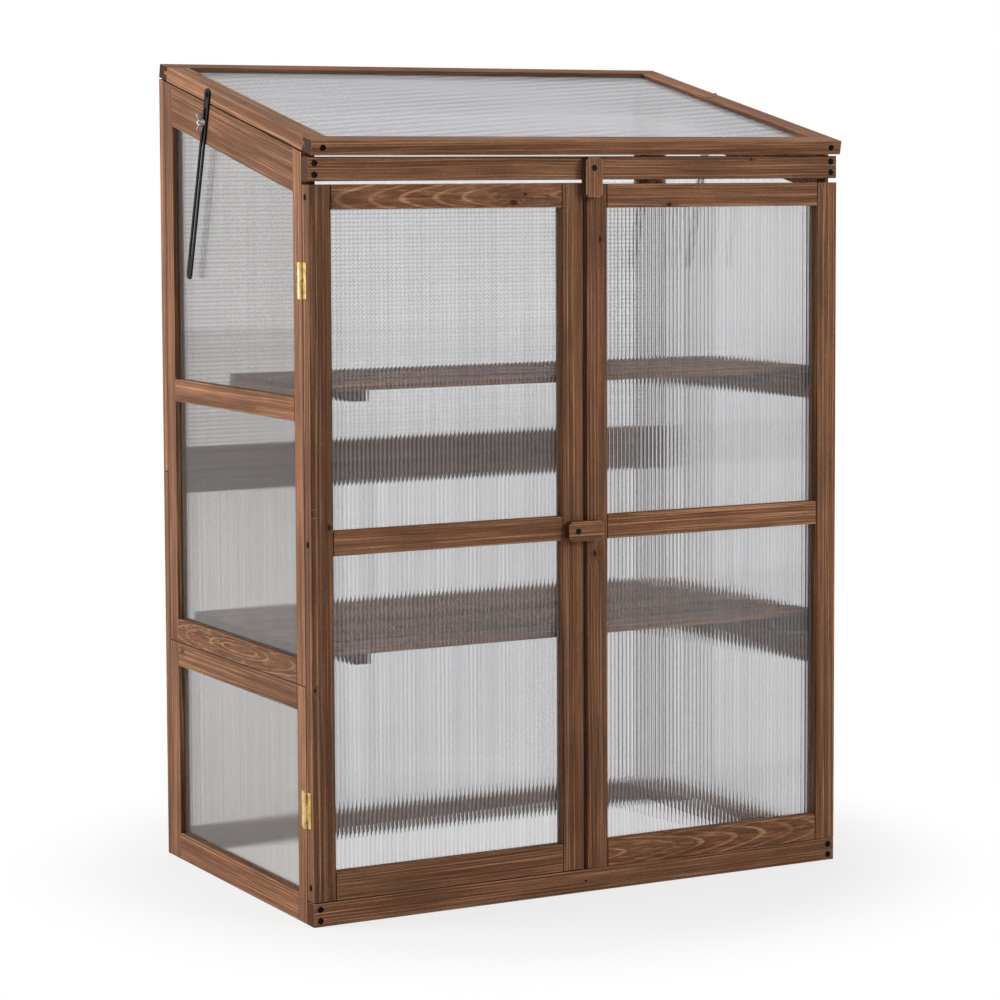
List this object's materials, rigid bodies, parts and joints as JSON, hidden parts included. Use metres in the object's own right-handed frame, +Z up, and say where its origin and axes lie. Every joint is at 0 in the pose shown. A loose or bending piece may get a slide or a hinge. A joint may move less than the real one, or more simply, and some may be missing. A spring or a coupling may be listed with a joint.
{
  "type": "mini greenhouse",
  "caption": "Small wooden greenhouse cabinet with ribbed sheet panes, hinged doors with turn buttons, a sloping lid on slotted stays and slatted shelves.",
  "frame": {"origin": "middle of the outer box, on the floor", "axes": "+Z up, +X to the right seen from the doors, the doors face -Y"},
  "size_m": [0.7848, 0.4878, 1.0589],
  "materials": {
    "frame_wood": "brown-stained softwood, reddish, open grain with knots, satin",
    "door_wood": "brown-stained softwood, dark, with knots, satin",
    "board_wood": "brown-stained softwood, dark, satin",
    "lid_wood": "brown-stained softwood, satin",
    "shelf_wood": "brown-stained softwood, matt",
    "twin_wall_sheet": "clear twin-wall sheet with fine ribs",
    "brass": "brass-plated sheet",
    "black_steel": "black, satin",
    "zinc": "bright zinc"
  },
  "bodies": {
    "cabinet": {"left_lower_stiles": "frame_wood", "left_upper_stiles": "frame_wood", "left_lower_rails": "frame_wood", "left_upper_rails": "frame_wood", "left_sloped_rail": "frame_wood", "left_side_panes": "twin_wall_sheet", "right_lower_stiles": "frame_wood", "right_upper_stiles": "frame_wood", "right_lower_rails": "frame_wood", "right_upper_rails": "frame_wood", "right_sloped_rail": "frame_wood", "right_side_panes": "twin_wall_sheet", "back_lower_stiles": "frame_wood", "back_lower_rails": "frame_wood", "back_upper_stiles": "frame_wood", "back_upper_rails": "frame_wood", "back_panes": "twin_wall_sheet", "header_board": "board_wood", "bottom_board": "board_wood", "lower_shelf_slats": "shelf_wood", "lower_shelf_battens": "shelf_wood", "upper_shelf_slats": "shelf_wood", "upper_shelf_battens": "shelf_wood", "shelf_cleats": "shelf_wood", "cabinet_hinge_leaves": "brass", "top_button_screw": "black_steel", "stay_bolts": "zinc", "stay_wing_nuts": "zinc"},
    "lid": {"lid_front_rail": "lid_wood", "lid_back_rail": "lid_wood", "lid_side_rails": "lid_wood", "lid_pane": "twin_wall_sheet", "lid_hinge_leaves": "brass", "stay_pivot_screws": "black_steel"},
    "left_door": {"left_door_hinge_stile": "door_wood", "left_door_meeting_stile": "door_wood", "left_door_rails": "door_wood", "left_door_panes": "twin_wall_sheet", "left_door_hinge_leaves": "brass", "middle_button_screw": "black_steel"},
    "right_door": {"right_door_hinge_stile": "door_wood", "right_door_meeting_stile": "door_wood", "right_door_rails": "door_wood", "right_door_panes": "twin_wall_sheet", "right_door_hinge_leaves": "brass"},
    "top_button": {"top_turn_button": "board_wood"},
    "middle_button": {"middle_turn_button": "board_wood"},
    "left_stay": {"left_stay_bar": "black_steel"},
    "right_stay": {"right_stay_bar": "black_steel"}
  },
  "joints": [
    {"name": "lid_hinge", "type": "hinge", "parent": "cabinet", "child": "lid", "pos_m": [0, 0.24115, 1.0448], "axis": [-1, 0, 0], "range_deg": [0, 63]},
    {"name": "left_door_hinge", "type": "hinge", "parent": "cabinet", "child": "left_door", "pos_m": [-0.38275, -0.21335, 0.465], "axis": [0, 0, -1], "range_deg": [0, 180]},
    {"name": "right_door_hinge", "type": "hinge", "parent": "cabinet", "child": "right_door", "pos_m": [0.38275, -0.21335, 0.465], "axis": [0, 0, 1], "range_deg": [0, 180]},
    {"name": "top_button_turn", "type": "hinge", "parent": "cabinet", "child": "top_button", "pos_m": [0.0073, -0.2439, 0.91921], "axis": [0, 1, 0], "range_deg": [-90, 90]},
    {"name": "middle_button_turn", "type": "hinge", "parent": "left_door", "child": "middle_button", "pos_m": [-0.0167, -0.2439, 0.464], "axis": [0, 1, 0], "range_deg": [-90, 90]},
    {"name": "left_stay_pivot", "type": "hinge", "parent": "lid", "child": "left_stay", "pos_m": [-0.3814, 0.06979, 1.01459], "axis": [1, 0, 0], "range_deg": [0, 32]},
    {"name": "right_stay_pivot", "type": "hinge", "parent": "lid", "child": "right_stay", "pos_m": [0.3814, 0.06979, 1.01459], "axis": [1, 0, 0], "range_deg": [0, 32]}
  ],
  "couplings": [
    {"joint": "left_stay_pivot", "follows": "lid_hinge", "ratio": 0.5},
    {"joint": "right_stay_pivot", "follows": "lid_hinge", "ratio": 0.5}
  ]
}
